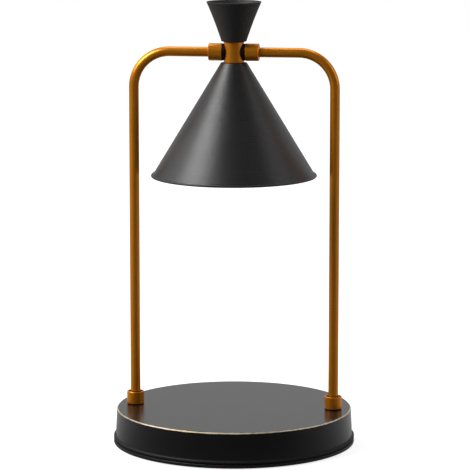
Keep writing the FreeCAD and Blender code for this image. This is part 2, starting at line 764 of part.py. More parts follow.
def pivot_tube():
    """Hollow threaded pivot, with a window below for the wires."""
    body = new_body("pivot_tube")
    half = PIVOT_HALF_LENGTH
    ring(body, "pivot_radius - pivot_wall", "pivot_radius", f"-{half}", half)
    block(
        body, "PartDesign::SubtractiveBox", "Window", "pivot_radius + pivot_clearance",
        "2 * pivot_radius", "pivot_window", back="-pivot_radius", up="-pivot_window / 2",
    )
    place(body, up="bar_height", rotation=Rotation(Vector(0, 1, 0), RIGHT_ANGLE))


def supply_lead():
    """Twin lead from the terminal block, along the base and up the right tube to the pivot."""
    across = size("block_pitch / 2")
    back = size("block_setback")
    low = size(BLOCK_WIRE_HEIGHT)
    high = size("bar_height")
    upright = size(TUBE_ACROSS)
    block_front = size("block_setback - block_width / 2")
    points = [
        Vector(across, back, low),
        Vector(across, block_front - size("lead_straight"), low),
        Vector(upright, 0, low),
        Vector(upright, 0, high),
        Vector(size("wire_radius"), 0, high),
    ]
    radii = [size("lead_turn"), size("lead_bend"), size("tube_bend")]
    path = rounded_path(points, radii)
    start = Part.Circle(points[0], points[1] - points[0], size("lead_radius")).toShape()
    solid = path.makePipeShell([Part.Wire([start])], True, False)
    expected = math.pi * size("lead_radius") ** 2 * path.Length
    if not math.isclose(solid.Volume, expected, rel_tol=VOLUME_TOLERANCE):
        raise ValueError("supply_lead: volume differs from section times length")
    feature = document.addObject("Part::Feature", "supply_lead")
    feature.Label = "supply_lead"
    feature.Shape = solid
    feature.Placement = Placement()
    subparts.append(feature)


def rounded_path(points, radii):
    """Straight runs through points, joined by tangent arcs of the radii given."""
    edges = []
    start = points[0]
    for index, radius in enumerate(radii, start=1):
        corner = points[index]
        back = (points[index - 1] - corner).normalize()
        ahead = (points[index + 1] - corner).normalize()
        half_turn = (math.pi - back.getAngle(ahead)) / 2
        reach = radius * math.tan(half_turn)
        bisector = (back + ahead).normalize()
        centre = corner + bisector * (radius / math.cos(half_turn))
        arc_start = corner + back * reach
        arc_end = corner + ahead * reach
        edges.append(Part.LineSegment(start, arc_start).toShape())
        edges.append(Part.Arc(arc_start, centre - bisector * radius, arc_end).toShape())
        start = arc_end
    edges.append(Part.LineSegment(start, points[-1]).toShape())
    return Part.Wire(edges)


def hub():
    """Upright barrel, cross bored for the pivot and spot faced for the washers."""
    body = new_body("hub")
    corners = [
        ("0", f"-{HUB_DROP}"),
        ("hub_radius - hub_edge", f"-{HUB_DROP}"),
        ("hub_radius", f"-{HUB_DROP} + hub_edge"),
        ("hub_radius", f"{HUB_RISE} - hub_edge"),
        ("hub_radius - hub_edge", HUB_RISE),
        ("0", HUB_RISE),
    ]
    turn(body, corners, "Barrel")
    along_bar = Rotation(Vector(0, 1, 0), RIGHT_ANGLE)
    drill(
        body, "PivotBore", "pivot_radius + pivot_clearance", "2 * hub_radius",
        across="-hub_radius", rotation=along_bar,
    )
    face = drill(
        body, "SpotFace", f"{COLLAR_RADIUS} + hole_clearance", "hub_radius",
        across=HUB_HALF_FLATS, rotation=along_bar,
    )
    repeat(body, [face], PAIR, "SpotFaces")
    drill(
        body, "CupThread", "cup_screw_radius + thread_clearance", CUP_SCREW_HOLE,
        up=f"{HUB_RISE} - {CUP_SCREW_HOLE}",
    )
    drill(
        body, "NippleThread", "nipple_radius + thread_clearance", NIPPLE_ENGAGEMENT, up=f"-{HUB_DROP}"
    )
    drill(body, "WirePassage", NIPPLE_BORE, HUB_DROP, up=f"-{HUB_DROP}")
    place(body, up="bar_height")


def upper_cup():
    """Open cup whose wall bows inward slightly between foot and rim."""
    body = new_body("upper_cup")
    inner_foot = f"{CUP_FOOT_RADIUS} + cup_sheet * {CUP_SLOPE} - {CUP_WALL}"
    hole = "cup_screw_radius + hole_clearance"
    corners = [
        (hole, "0"),
        (CUP_FOOT_RADIUS, "0", "-cup_curve"),
        ("cup_rim_radius", "cup_height"),
        (f"cup_rim_radius - {CUP_WALL}", "cup_height", "cup_curve"),
        (inner_foot, "cup_sheet"),
        (hole, "cup_sheet"),
    ]
    turn(body, corners, "Cone")
    round_off(body, "cup_foot_round", [(CUP_FOOT_RADIUS, "0")], "FootRound")
    lip = [("cup_rim_radius", "cup_height"), (f"cup_rim_radius - {CUP_WALL}", "cup_height")]
    round_off(body, "cup_lip_round", lip, "LipRounds")
    place(body, up=HUB_TOP)


def cup_washer():
    body = new_body("cup_washer")
    ring(body, "cup_screw_radius + hole_clearance", "cup_washer_radius", "0", "cup_washer_thickness")
    place(body, up=f"{HUB_TOP} + cup_sheet")


def cup_screw():
    body = new_body("cup_screw")
    seat = "(cup_sheet + cup_washer_thickness)"
    shank_end = f"(screw_end_gap - {CUP_SCREW_HOLE})"
    crown_rise = "cup_screw_head_height / 2"
    corners = [
        ("0", shank_end),
        ("cup_screw_radius", shank_end),
        ("cup_screw_radius", seat),
        ("cup_screw_head_radius", seat),
        ("cup_screw_head_radius", f"{seat} + {crown_rise}", dome("cup_screw_head_radius", crown_rise)),
        ("0", f"{seat} + cup_screw_head_height"),
    ]
    turn(body, corners, "Screw")
    place(body, up=HUB_TOP)


def shade():
    """Spun cone with a closed top and a bead rolled round its rim."""
    body = new_body("shade")
    hole = "nipple_radius + hole_clearance"
    corners = [
        (hole, "-shade_sheet"),
        (f"{SHADE_TOP_RADIUS} + shade_sheet * {SHADE_SLOPE} - {SHADE_WALL}", "-shade_sheet"),
        (f"{SHADE_SKIRT_RADIUS} - {SHADE_WALL}", "-shade_height"),
        (SHADE_SKIRT_RADIUS, "-shade_height"),
        (SHADE_TOP_RADIUS, "0"),
        (hole, "0"),
    ]
    turn(body, corners, "Cone")
    round_off(body, "shade_top_round", [(SHADE_TOP_RADIUS, "0")], "TopRound")
    bead = body.newObject("PartDesign::AdditiveTorus", "Bead")
    attach(bead, body, up="shade_bead - shade_height")
    bead.setExpression("Radius1", formula("shade_rim_radius - shade_bead"))
    bead.setExpression("Radius2", formula("shade_bead"))
    document.recompute()
    place(body, up=HUB_BOTTOM)


def shade_nipple():
    body = new_body("shade_nipple")
    ring(body, NIPPLE_BORE, "nipple_radius", NIPPLE_END, f"{HUB_BOTTOM} + {NIPPLE_ENGAGEMENT}")


def shade_washer():
    body = new_body("shade_washer")
    washer_radius = "nipple_radius + shade_washer_width"
    ring(body, "nipple_radius + hole_clearance", washer_radius, NUT_CEILING, SHADE_CEILING)


def nipple_nuts():
    """Nut that clamps the shade, and nut that clamps the bracket."""
    for label, ceiling in (("shade_nut", NUT_CEILING), ("bracket_nut", LOWER_NUT_CEILING)):
        body = hex_nut(
            label, "nipple_nut_flats", "nipple_nut_thickness", "nipple_radius + thread_clearance"
        )
        place(body, up=f"{ceiling} - nipple_nut_thickness")


def holder_bracket():
    """Folded strap: a bridge under the shade nut and a foot at each side on the holder."""
    body = new_body("holder_bracket")
    sketch = body.newObject("Sketcher::SketchObject", "StrapOutline")
    attach(sketch, body, "XZ_Plane")
    inside = BRACKET_INSIDE
    outside = BRACKET_OUTSIDE
    reach = f"({BRACKET_OUTSIDE} + bracket_foot)"
    top = BRACKET_TOP
    corners = [
        (f"-{reach}", HOLDER_TOP),
        (f"-{inside}", HOLDER_TOP),
        (f"-{inside}", f"{HOLDER_TOP} + bracket_drop"),
        (inside, f"{HOLDER_TOP} + bracket_drop"),
        (inside, HOLDER_TOP),
        (reach, HOLDER_TOP),
        (reach, f"{HOLDER_TOP} + bracket_sheet"),
        (outside, f"{HOLDER_TOP} + bracket_sheet"),
        (outside, top),
        (f"-{outside}", top),
        (f"-{outside}", f"{HOLDER_TOP} + bracket_sheet"),
        (f"-{reach}", f"{HOLDER_TOP} + bracket_sheet"),
    ]
    draw(sketch, corners)
    strap = body.newObject("PartDesign::Pad", "Strap")
    strap.Profile = (sketch, [""])
    strap.Midplane = True
    strap.setExpression("Length", formula("bracket_width"))
    document.recompute()
    drill(body, "NippleHole", "nipple_radius + hole_clearance", top)
    foot_hole = drill(
        body, "ScrewHole", "holder_screw_radius + hole_clearance", f"{HOLDER_TOP} + bracket_sheet",
        across=HOLDER_SCREW_ACROSS,
    )
    repeat(body, [foot_hole], PAIR, "ScrewHoles")


def lamp_holder():
    """Ceramic twist-lock holder: two keyhole slots open into a round cavity for the pin heads."""
    body = new_body("lamp_holder")
    corners = [
        ("0", CAVITY_TOP),
        (CAVITY_RADIUS, CAVITY_TOP),
        (CAVITY_RADIUS, "holder_plate"),
        ("0", "holder_plate"),
        ("0", "0"),
        (f"{HOLDER_RADIUS} - holder_edge", "0"),
        (HOLDER_RADIUS, "holder_edge"),
        (HOLDER_RADIUS, "holder_height - holder_edge"),
        (f"{HOLDER_RADIUS} - holder_edge", "holder_height"),
        ("0", "holder_height"),
    ]
    turn(body, corners, "Ceramic")
    before = body.Shape.Volume
    sketch = body.newObject("Sketcher::SketchObject", "SlotOutline")
    attach(sketch, body, "XZ_Plane")
    inner = "pin_spacing / 2 - pin_neck_radius - pin_clearance"
    outer = "pin_spacing / 2 + pin_neck_radius + pin_clearance"
    draw(sketch, [(inner, "0"), (outer, "0"), (outer, "holder_plate"), (inner, "holder_plate")])
    slot = body.newObject("PartDesign::Groove", "Slot")
    slot.Profile = (sketch, [""])
    slot.ReferenceAxis = (sketch, ["V_Axis"])
    slot.Reversed = True
    slot.setExpression("Angle", formula("bulb_turn"))
    document.recompute()
    ring_area = math.pi * (size(outer) ** 2 - size(inner) ** 2)
    expected = ring_area * size("holder_plate") * size("bulb_turn") / FULL_TURN
    if not math.isclose(before - body.Shape.Volume, expected, rel_tol=VOLUME_TOLERANCE):
        raise ValueError("lamp_holder: the slot is not cut")
    locked = drill(
        body, "LockedEnd", "pin_neck_radius + pin_clearance", "holder_plate", across="pin_spacing / 2"
    )
    entry = drill(
        body, "EntryHole", "pin_head_radius + pin_clearance", "holder_plate",
        across=f"pin_spacing / 2 * cos(bulb_turn * {DEGREE})",
        back=f"-pin_spacing / 2 * sin(bulb_turn * {DEGREE})",
    )
    repeat(body, [slot, locked, entry], PAIR, "Keyholes")
    top_hole = drill(
        body, "ScrewHole", "holder_screw_radius + thread_clearance", "holder_screw_length",
        across=HOLDER_SCREW_ACROSS, up="holder_height - holder_screw_length",
    )
    wire_hole = drill(
        body, "WireHole", "wire_radius + hole_clearance", f"holder_height - {CAVITY_TOP}",
        back="wire_spacing / 2", up=CAVITY_TOP,
    )
    repeat(body, [top_hole, wire_hole], PAIR, "TopHoles")
    place(body, up=HOLDER_FACE)


def holder_screws():
    body = new_body("holder_screws")
    seat = f"({HOLDER_TOP} + bracket_sheet)"
    shank_end = f"({HOLDER_TOP} - holder_screw_length + screw_end_gap)"
    crown_rise = "holder_screw_head_height / 2"
    crown = dome("holder_screw_head_radius", crown_rise)
    corners = [
        ("0", shank_end),
        ("holder_screw_radius", shank_end),
        ("holder_screw_radius", seat),
        ("holder_screw_head_radius", seat),
        ("holder_screw_head_radius", f"{seat} + {crown_rise}", crown),
        ("0", f"{seat} + holder_screw_head_height"),
    ]
    one = turn(body, corners, "Screw", HOLDER_SCREW_ACROSS)
    repeat(body, [one], PAIR, "Screws")


def holder_contacts():
    """Two brass contacts that hang from the cavity's ceiling over the pin heads."""
    body = new_body("holder_contacts")
    bottom = f"({BULB_SEAT} + {PIN_NECK_LENGTH} + pin_head_height + bulb_seat_gap)"
    length = "pin_spacing / 2 + pin_head_radius - contact_inner"
    one = block(
        body, "PartDesign::AdditiveBox", "Contact", length, "contact_width", f"{CAVITY_CEILING} - {bottom}",
        across="contact_inner", back="-contact_width / 2", up=bottom,
    )
    repeat(body, [one], PAIR, "Contacts")


def head_wires():
    """Two insulated wires from the hub through the nipple into the holder."""
    body = new_body("head_wires")
    start = f"({CAVITY_CEILING} - wire_entry)"
    end = "(bar_height - pivot_radius - 2 * pivot_clearance - hole_clearance)"
    one = boss(
        body, "Wire", "wire_radius", f"{end} - {start}", back="wire_spacing / 2", up=start
    )
    repeat(body, [one], PAIR, "Wires")


def bulb_base():
    """Ceramic foot of the bulb, with a shallow socket that takes the reflector's neck."""
    body = new_body("bulb_base")
    outer = "(bulb_neck_radius + bulb_base_wall)"
    corners = [
        ("0", "0"),
        (f"{outer} - bulb_base_edge", "0"),
        (outer, "-bulb_base_edge"),
        (f"{outer} + bulb_base_edge", "-bulb_base_length"),
        ("bulb_neck_radius + sleeve_clearance", "-bulb_base_length"),
        ("bulb_neck_radius + sleeve_clearance", "bulb_neck_depth - bulb_base_length"),
        ("0", "bulb_neck_depth - bulb_base_length"),
    ]
    turn(body, corners, "Foot")
    place(body, up=BULB_SEAT)


def bulb_pins():
    body = new_body("bulb_pins")
    head = f"({BULB_SEAT} + {PIN_NECK_LENGTH})"
    top = f"({head} + pin_head_height)"
    corners = [
        ("0", BULB_SEAT),
        ("pin_neck_radius", BULB_SEAT),
        ("pin_neck_radius", head),
        ("pin_head_radius", head),
        ("pin_head_radius", f"{top} - pin_head_height / 4"),
        ("pin_head_radius - pin_head_height / 4", top),
        ("0", top),
    ]
    one = turn(body, corners, "Pin", "pin_spacing / 2")
    repeat(body, [one], PAIR, "Pins")


def bulb_reflector():
    """Pressed glass bowl that opens from the neck to the rim."""
    body = new_body("bulb_reflector")
    neck_end = "(bulb_neck_depth - bulb_base_length)"
    rim_top = "(bulb_rim_height - bulb_length)"
    bowl_start = "(-bulb_base_length - hole_clearance)"
    shelf = "(lens_thickness - bulb_length)"
    corners = [
        ("bulb_neck_radius - bulb_glass", neck_end),
        ("bulb_neck_radius - bulb_glass", bowl_start, "-bulb_curve"),
        ("bulb_face_radius - 2 * bulb_glass", f"{rim_top} + hole_clearance"),
        ("bulb_face_radius - 2 * bulb_glass", shelf),
        ("bulb_face_radius - bulb_glass", shelf),
        ("bulb_face_radius - bulb_glass", "-bulb_length"),
        ("bulb_face_radius", "-bulb_length"),
        ("bulb_face_radius", rim_top, "bulb_curve"),
        ("bulb_neck_radius", bowl_start),
        ("bulb_neck_radius", neck_end),
    ]
    turn(body, corners, "Bowl")
    place(body, up=BULB_SEAT)


def bulb_lens():
    body = new_body("bulb_lens")
    radius = "bulb_face_radius - bulb_glass - sleeve_clearance"
    corners = [
        ("0", "0"),
        (radius, "0"),
        (radius, "lens_thickness"),
        ("0", "lens_thickness"),
    ]
    turn(body, corners, "Disc")
    place(body, up=BULB_FACE)


def bulb_capsule():
    """Small glass capsule on the bulb's axis that stands down from the base."""
    body = new_body("bulb_capsule")
    top = "(bulb_neck_depth - bulb_base_length)"
    tip = f"({top} - capsule_length)"
    corners = [
        ("0", top),
        ("capsule_radius", top),
        ("capsule_radius", f"{tip} + capsule_tip_round"),
        ("capsule_radius - capsule_tip_round", tip),
        ("0", tip),
    ]
    turn(body, corners, "Capsule")
    place(body, up=BULB_SEAT)


def check_and_export():
    """Stops on any failed object, then writes one file per sub-part."""
    document.recompute()
    for item in document.Objects:
        if "Invalid" in item.State or "Error" in item.State:
            raise ValueError(f"{item.Label} failed: {item.State}")
    os.makedirs("parts", exist_ok=True)
    for item in subparts:
        shape = item.Shape
        if shape.isNull() or not shape.isValid() or not shape.Solids:
            raise ValueError(f"{item.Label} has no valid solid")
    for item in subparts:
        item.Shape.exportStep(f"parts/{item.Label}.step")
        print(f"{item.Label}: {len(item.Shape.Solids)} solid, {item.Shape.Volume:.0f} mm3")


def build():
    fill_sheet()
    foot_pad()
    bottom_plate()
    bottom_screws()
    base_weight()
    base_cover()
    cord_bush()
    terminal_block()
    for side, sign in SIDES.items():
        bent_tube(side, sign)
        foot_collar(side, sign)
        foot_nut(side, sign)
        bar_collar(side, sign)
        friction_washer(side, sign)
    foot_washers()
    foot_lock_washers()
    pivot_tube()
    supply_lead()
    hub()
    upper_cup()
    cup_washer()
    cup_screw()
    shade()
    shade_nipple()
    shade_washer()
    nipple_nuts()
    holder_bracket()
    lamp_holder()
    holder_screws()
    holder_contacts()
    head_wires()
    bulb_base()
    bulb_pins()
    bulb_reflector()
    bulb_lens()
    bulb_capsule()
    check_and_export()


build()
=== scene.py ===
import math

import bmesh
import bpy
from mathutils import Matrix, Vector


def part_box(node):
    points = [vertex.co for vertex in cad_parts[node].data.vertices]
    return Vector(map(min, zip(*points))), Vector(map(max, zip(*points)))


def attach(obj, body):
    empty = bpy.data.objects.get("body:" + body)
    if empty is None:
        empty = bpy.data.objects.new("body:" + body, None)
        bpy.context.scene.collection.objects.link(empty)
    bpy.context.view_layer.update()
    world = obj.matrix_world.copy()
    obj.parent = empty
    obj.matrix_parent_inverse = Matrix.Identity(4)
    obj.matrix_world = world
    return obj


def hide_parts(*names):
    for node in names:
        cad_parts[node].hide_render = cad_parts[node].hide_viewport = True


# Candle warmer lamp on a white ground: metres, +Z up, tubes along X, front towards -Y.

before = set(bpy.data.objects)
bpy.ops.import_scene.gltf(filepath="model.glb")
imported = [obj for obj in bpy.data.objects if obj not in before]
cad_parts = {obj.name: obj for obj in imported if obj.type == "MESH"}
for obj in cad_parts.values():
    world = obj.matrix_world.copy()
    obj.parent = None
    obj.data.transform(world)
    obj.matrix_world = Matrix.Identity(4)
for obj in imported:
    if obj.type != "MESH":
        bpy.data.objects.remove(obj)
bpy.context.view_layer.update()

MILLIMETRE = 0.001
WHITE = (1, 1, 1, 1)

# Camera, as fitted to the photograph
LENS = 208.06
SENSOR = 36.0
CAMERA_DISTANCE = 1.72336
CAMERA_HEIGHT = 0.41617
CAMERA_ASIDE = 0.00067
CAMERA_TURN = 0.1246
CAMERA_PITCH = 0.1616
CLIP_START = 0.05
CLIP_END = 50

# Lamps: turn from the camera's side towards its right, rise above the horizon, in degrees
KEY_LAMP = {"turn": -71, "rise": 41, "distance": 1.1, "width": 0.58, "height": 0.62, "radiance": 8.8}
WING_LAMP = {"turn": -112, "rise": 34, "distance": 1.1, "width": 0.50, "height": 0.70, "radiance": 1.1}
FILL_LAMP = {"turn": 80, "rise": 26, "distance": 1.1, "width": 0.5, "height": 0.8, "radiance": 1.3}
TOP_LAMP = {"turn": 170, "rise": 76, "distance": 1.2, "width": 0.9, "height": 0.6, "radiance": 2.2}
LAMP_TARGET = Vector((0, 0, 0.14))

# Studio as reflections and bounced light see it, brighter behind the lamp
BACKDROP_GLOW = 0.58
STUDIO_GLOW = 0.09
BACKDROP_EDGE = (0.15, 0.75)

# Floor as the camera sees it: its glow is lower near the lamp, a painted soft shadow
FLOOR_SIZE = 6.0
FLOOR_CELLS = 8
FLOOR_DROP = 0.2 * MILLIMETRE
FLOOR_SEEN = (0.55, 0.55, 0.55, 1)
FLOOR_GLOW_NEAR = 0.78
FLOOR_GLOW_FAR = 1.0
SHADOW_REACH = (0.10, 0.30)

# Floor as reflections see it: close to the lamp by depth, further out by how far it lies in front
FLOOR_REFLECTED = (0.06, 0.06, 0.06, 1)
NEAR_FLOOR_DEPTHS = (-0.16, 0.14)
NEAR_FLOOR_REFLECTED = (0.015, 0.55)
FAR_FLOOR_FACING = (0.9, 0.45)
FAR_FLOOR_REFLECTED = (0.09, 0.37)
NEAR_TO_FAR = (0.20, 0.40)

# Range that a noise texture mostly stays in, and the colour sockets of a mix node
NOISE_RANGE = (0.3, 0.7)
MIX_LOW = 6
MIX_HIGH = 7
MIX_RESULT = 2

# Gold band: it covers these shares of the bevel between the cover's top and its wall
COVER_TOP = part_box("base_cover")[1].z
COVER_BEVEL = 0.8 * MILLIMETRE
COVER_WALL_RADIUS = 75.9 * MILLIMETRE
GOLD_ACROSS = 0.92
GOLD_DOWN = 0.86
GOLD_EDGE_RADIUS = COVER_WALL_RADIUS - GOLD_ACROSS * COVER_BEVEL
GOLD_EDGE_HEIGHT = COVER_TOP - GOLD_DOWN * COVER_BEVEL
GOLD_WANDER = 0.13 * MILLIMETRE
GOLD_METALLIC = 0.6
GOLD_ROUGHNESS = 0.48

# Flange at the foot of the cover, where its coat is duller
FLANGE_HEIGHT = 5.3 * MILLIMETRE
FLANGE_FADE = 0.5 * MILLIMETRE
FLANGE_ROUGHNESS = 0.62

# The cup is sprayed a little duller than the shade
CUP_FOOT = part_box("upper_cup")[0].z
CUP_FADE = 1.0 * MILLIMETRE
CUP_DULLNESS = 0.24

# Share of the shade's turning rings in its relief, the rest of which is grain
RING_SHARE = 0.85

# How far the grain of a moulding goes below and above its roughness
MOULD_SMOOTHER = 0.05
MOULD_ROUGHER = 0.06

# Hollow in the top of each foot collar, darkened there as painted shade
TUBE_ACROSS = 64.6 * MILLIMETRE
FOOT_CUP_RADIUS = 4.9 * MILLIMETRE
FOOT_CUP_FLOOR = 28.9 * MILLIMETRE
FOOT_CUP_TOP = 31.1 * MILLIMETRE
FOOT_CUP_FADE = 0.3 * MILLIMETRE

# Woven sleeve: strands in radians per metre, along the wire and round it
STRANDS_ALONG = 9000.0
STRANDS_ROUND = 6500.0

# Turned pieces: steps round the axis and in a curve, and the angle that makes an edge sharp
ROUND_STEPS = 48
CURVE_STEPS = 8
CREASE = math.radians(32)
WELD_DISTANCE = 0.004 * MILLIMETRE

# Screws, with the sizes of the CAD model
CUP_SCREW = {
    "shank_radius": 2.0 * MILLIMETRE, "head_radius": 3.5 * MILLIMETRE, "head_height": 2.2 * MILLIMETRE,
}
BASE_SCREW = {
    "shank_radius": 1.5 * MILLIMETRE, "head_radius": 3.3 * MILLIMETRE, "head_height": 1.6 * MILLIMETRE,
}
BASE_SCREWS = 3
BASE_SCREW_CIRCLE = 40.0 * MILLIMETRE

# Chamfer at the end of a screw, as a share of its shank's radius
SCREW_CHAMFER = 1 / 3

# Cross recess: length and width as shares of the head's radius, depth as a share of its height
RECESS_LENGTH = 1.15
RECESS_WIDTH = 0.24
RECESS_DEPTH = 0.62
RECESS_ANGLES = (math.pi / 4, 3 * math.pi / 4)

# Cutter of the recess: its bottom as a share of its top, and its height above the head
RECESS_TAPER = 0.55
RECESS_OVERSHOOT = 1.0 * MILLIMETRE

# Bulb: the coating inside its bowl
BOWL_MOUTH_RADIUS = 22.2 * MILLIMETRE
BOWL_MOUTH_RISE = 3.2 * MILLIMETRE
BOWL_NECK_RADIUS = 9.0 * MILLIMETRE
BOWL_NECK_DROP = 4.2 * MILLIMETRE
BOWL_CURVE = 44.0 * MILLIMETRE
FACET_ROWS = 9
FACETS_ROUND = 36
COATING_INSET = 0.35 * MILLIMETRE
COATING_DEPTH = 0.15 * MILLIMETRE

# Bulb: its capsule and what the capsule holds
CAPSULE_WALL = 0.7 * MILLIMETRE
CAPSULE_SEAL = 4.0 * MILLIMETRE
FILAMENT_RADIUS = 0.6 * MILLIMETRE
FILAMENT_LENGTH = 5.5 * MILLIMETRE
FILAMENT_TURNS = 12
FILAMENT_STEPS = 12
FILAMENT_WIRE = 0.09 * MILLIMETRE
LEAD_WIRE = 0.2 * MILLIMETRE
LEAD_ASIDE = 1.9 * MILLIMETRE
WIRE_ROUNDNESS = 3


def add(tree, kind, inputs=None, **settings):
    """New shader node with its settings and input values or links."""
    node = tree.nodes.new(kind)
    for name, setting in settings.items():
        setattr(node, name, setting)
    for name, source in (inputs or {}).items():
        connect(tree, node, name, source)
    return node


def connect(tree, node, name, source):
    """Links an output to an input, or writes a plain value in it."""
    if isinstance(source, bpy.types.NodeSocket):
        tree.links.new(source, node.inputs[name])
    else:
        node.inputs[name].default_value = source


def maths(tree, operation, *values):
    """Result of one operation on plain values or outputs."""
    return add(tree, "ShaderNodeMath", dict(enumerate(values)), operation=operation).outputs[0]


def blend(tree, factor, low, high):
    """Colour between low and high."""
    wanted = {"Factor": factor, MIX_LOW: low, MIX_HIGH: high}
    return add(tree, "ShaderNodeMix", wanted, data_type="RGBA").outputs[MIX_RESULT]


def span(tree, source, low, high, start=0.0, end=1.0, smooth=False):
    """Maps low..high of a value onto start..end."""
    wanted = {"Value": source, "From Min": low, "From Max": high, "To Min": start, "To Max": end}
    kind = "SMOOTHSTEP" if smooth else "LINEAR"
    return add(tree, "ShaderNodeMapRange", wanted, interpolation_type=kind).outputs[0]


def noise(tree, place, scale, detail=3.0, roughness=0.5):
    """Cloudy texture, mostly within the noise range."""
    wanted = {"Vector": place, "Scale": scale, "Detail": detail, "Roughness": roughness}
    return add(tree, "ShaderNodeTexNoise", wanted).outputs[0]


def varied(tree, texture, start, end):
    """Maps the range of a noise texture onto start..end."""
    return span(tree, texture, *NOISE_RANGE, start, end)


def stretched(tree, place, scale):
    """Place with each axis scaled by itself."""
    return add(tree, "ShaderNodeMapping", {"Vector": place, "Scale": scale}).outputs[0]


def bump(tree, height, strength, distance):
    """Normal of a surface with a fine relief."""
    wanted = {"Height": height, "Strength": strength, "Distance": distance}
    return add(tree, "ShaderNodeBump", wanted).outputs[0]


def object_place(tree):
    """Place in the object's own axes."""
    return add(tree, "ShaderNodeTexCoord").outputs["Object"]


def axes(tree, place):
    """The three parts of a place or direction."""
    return add(tree, "ShaderNodeSeparateXYZ", {"Vector": place}).outputs


def cylinder_place(tree, place):
    """Distance from the upright axis, angle round it and height."""
    parts = axes(tree, place)
    across = maths(tree, "MULTIPLY", parts[0], parts[0])
    back = maths(tree, "MULTIPLY", parts[1], parts[1])
    radius = maths(tree, "SQRT", maths(tree, "ADD", across, back))
    return radius, maths(tree, "ARCTAN2", parts[1], parts[0]), parts[2]


def fresh_tree(owner):
    """Empty shader tree of a material or a world."""
    owner.use_nodes = True
    owner.node_tree.nodes.clear()
    return owner.node_tree


def new_material(name):
    """Material with a fresh Principled shader, its tree and the object's own place."""
    material = bpy.data.materials.new(name)
    tree = fresh_tree(material)
    shader = add(tree, "ShaderNodeBsdfPrincipled")
    add(tree, "ShaderNodeOutputMaterial", {"Surface": shader.outputs[0]})
    return material, tree, shader, object_place(tree)


def finish_shader(tree, shader, **inputs):
    """Sets the shader's inputs, named with underscores for spaces."""
    for name, source in inputs.items():
        connect(tree, shader, name.replace("_", " "), source)


def base_paint():
    """Satin black coat, duller on the flange, whose top edge is rubbed to gold in a ragged band."""
    material, tree, shader, place = new_material("base_paint")
    radius, _, height = cylinder_place(tree, place)
    ragged = noise(tree, place, scale=260.0, detail=4.0, roughness=0.65)
    wander = varied(tree, ragged, -GOLD_WANDER, GOLD_WANDER)
    past_top = maths(tree, "GREATER_THAN", maths(tree, "ADD", radius, wander), GOLD_EDGE_RADIUS)
    past_wall = maths(tree, "GREATER_THAN", maths(tree, "ADD", height, wander), GOLD_EDGE_HEIGHT)
    rubbed = maths(tree, "MULTIPLY", past_top, past_wall)
    patchy = span(tree, noise(tree, place, scale=38.0), low=0.34, high=0.52, start=0.75)
    gold = maths(tree, "MULTIPLY", rubbed, patchy)
    mottle = noise(tree, place, scale=90.0, detail=4.0)
    black = blend(tree, mottle, (0.0070, 0.0066, 0.0070, 1), (0.0105, 0.0098, 0.0102, 1))
    tone = noise(tree, place, scale=24.0)
    light = span(tree, tone, low=0.36, high=0.62)
    bright = blend(tree, light, (0.56, 0.41, 0.25, 1), (0.84, 0.74, 0.58, 1))
    grain = noise(tree, place, scale=2600.0, detail=2.0)
    foot = span(tree, height, FLANGE_HEIGHT, FLANGE_HEIGHT + FLANGE_FADE, FLANGE_ROUGHNESS, 0.0)
    satin = varied(tree, mottle, 0.235, 0.255)
    worn = maths(tree, "MAXIMUM", maths(tree, "MULTIPLY", gold, GOLD_ROUGHNESS), foot)
    finish_shader(
        tree, shader,
        Base_Color=blend(tree, gold, black, bright),
        Metallic=maths(tree, "MULTIPLY", gold, GOLD_METALLIC),
        Roughness=maths(tree, "MAXIMUM", satin, worn),
        Normal=bump(tree, grain, strength=0.022, distance=0.03 * MILLIMETRE),
        IOR=1.5,
    )
    return material


def shade_paint():
    """Satin black paint over spun metal, whose turning rings show faintly."""
    material, tree, shader, place = new_material("shade_paint")
    height = axes(tree, place)[2]
    level = add(tree, "ShaderNodeCombineXYZ", {"Z": height}).outputs[0]
    rings = noise(tree, level, scale=850.0, roughness=0.7)
    mottle = noise(tree, place, scale=70.0, detail=4.0)
    grain = noise(tree, place, scale=2400.0, detail=2.0)
    ring_relief = maths(tree, "MULTIPLY", rings, RING_SHARE)
    relief = maths(tree, "ADD", ring_relief, maths(tree, "MULTIPLY", grain, 1 - RING_SHARE))
    satin = maths(tree, "ADD", varied(tree, mottle, 0.38, 0.41), varied(tree, rings, -0.03, 0.03))
    duller = span(tree, height, CUP_FOOT - CUP_FADE, CUP_FOOT, 0.0, CUP_DULLNESS)
    finish_shader(
        tree, shader,
        Base_Color=blend(tree, mottle, (0.0095, 0.0085, 0.0085, 1), (0.0145, 0.0130, 0.0130, 1)),
        Roughness=maths(tree, "ADD", satin, duller),
        Normal=bump(tree, relief, strength=0.8, distance=0.28 * MILLIMETRE),
        IOR=1.58,
    )
    return material


def collar_hollow_shade(tree, place):
    """Mask of the hollow round each tube in the top of its foot collar, where shade is painted in."""
    parts = axes(tree, place)
    aside = maths(tree, "SUBTRACT", maths(tree, "ABSOLUTE", parts[0]), TUBE_ACROSS)
    middle = add(tree, "ShaderNodeCombineXYZ", {"X": aside, "Y": parts[1], "Z": parts[2]}).outputs[0]
    reach, _, height = cylinder_place(tree, middle)
    beside = span(tree, reach, FOOT_CUP_RADIUS, FOOT_CUP_RADIUS - FOOT_CUP_FADE)
    above = span(tree, height, FOOT_CUP_FLOOR, FOOT_CUP_FLOOR + FOOT_CUP_FADE)
    below = span(tree, height, FOOT_CUP_TOP + FOOT_CUP_FADE, FOOT_CUP_TOP)
    return maths(tree, "MULTIPLY", beside, maths(tree, "MULTIPLY", above, below))


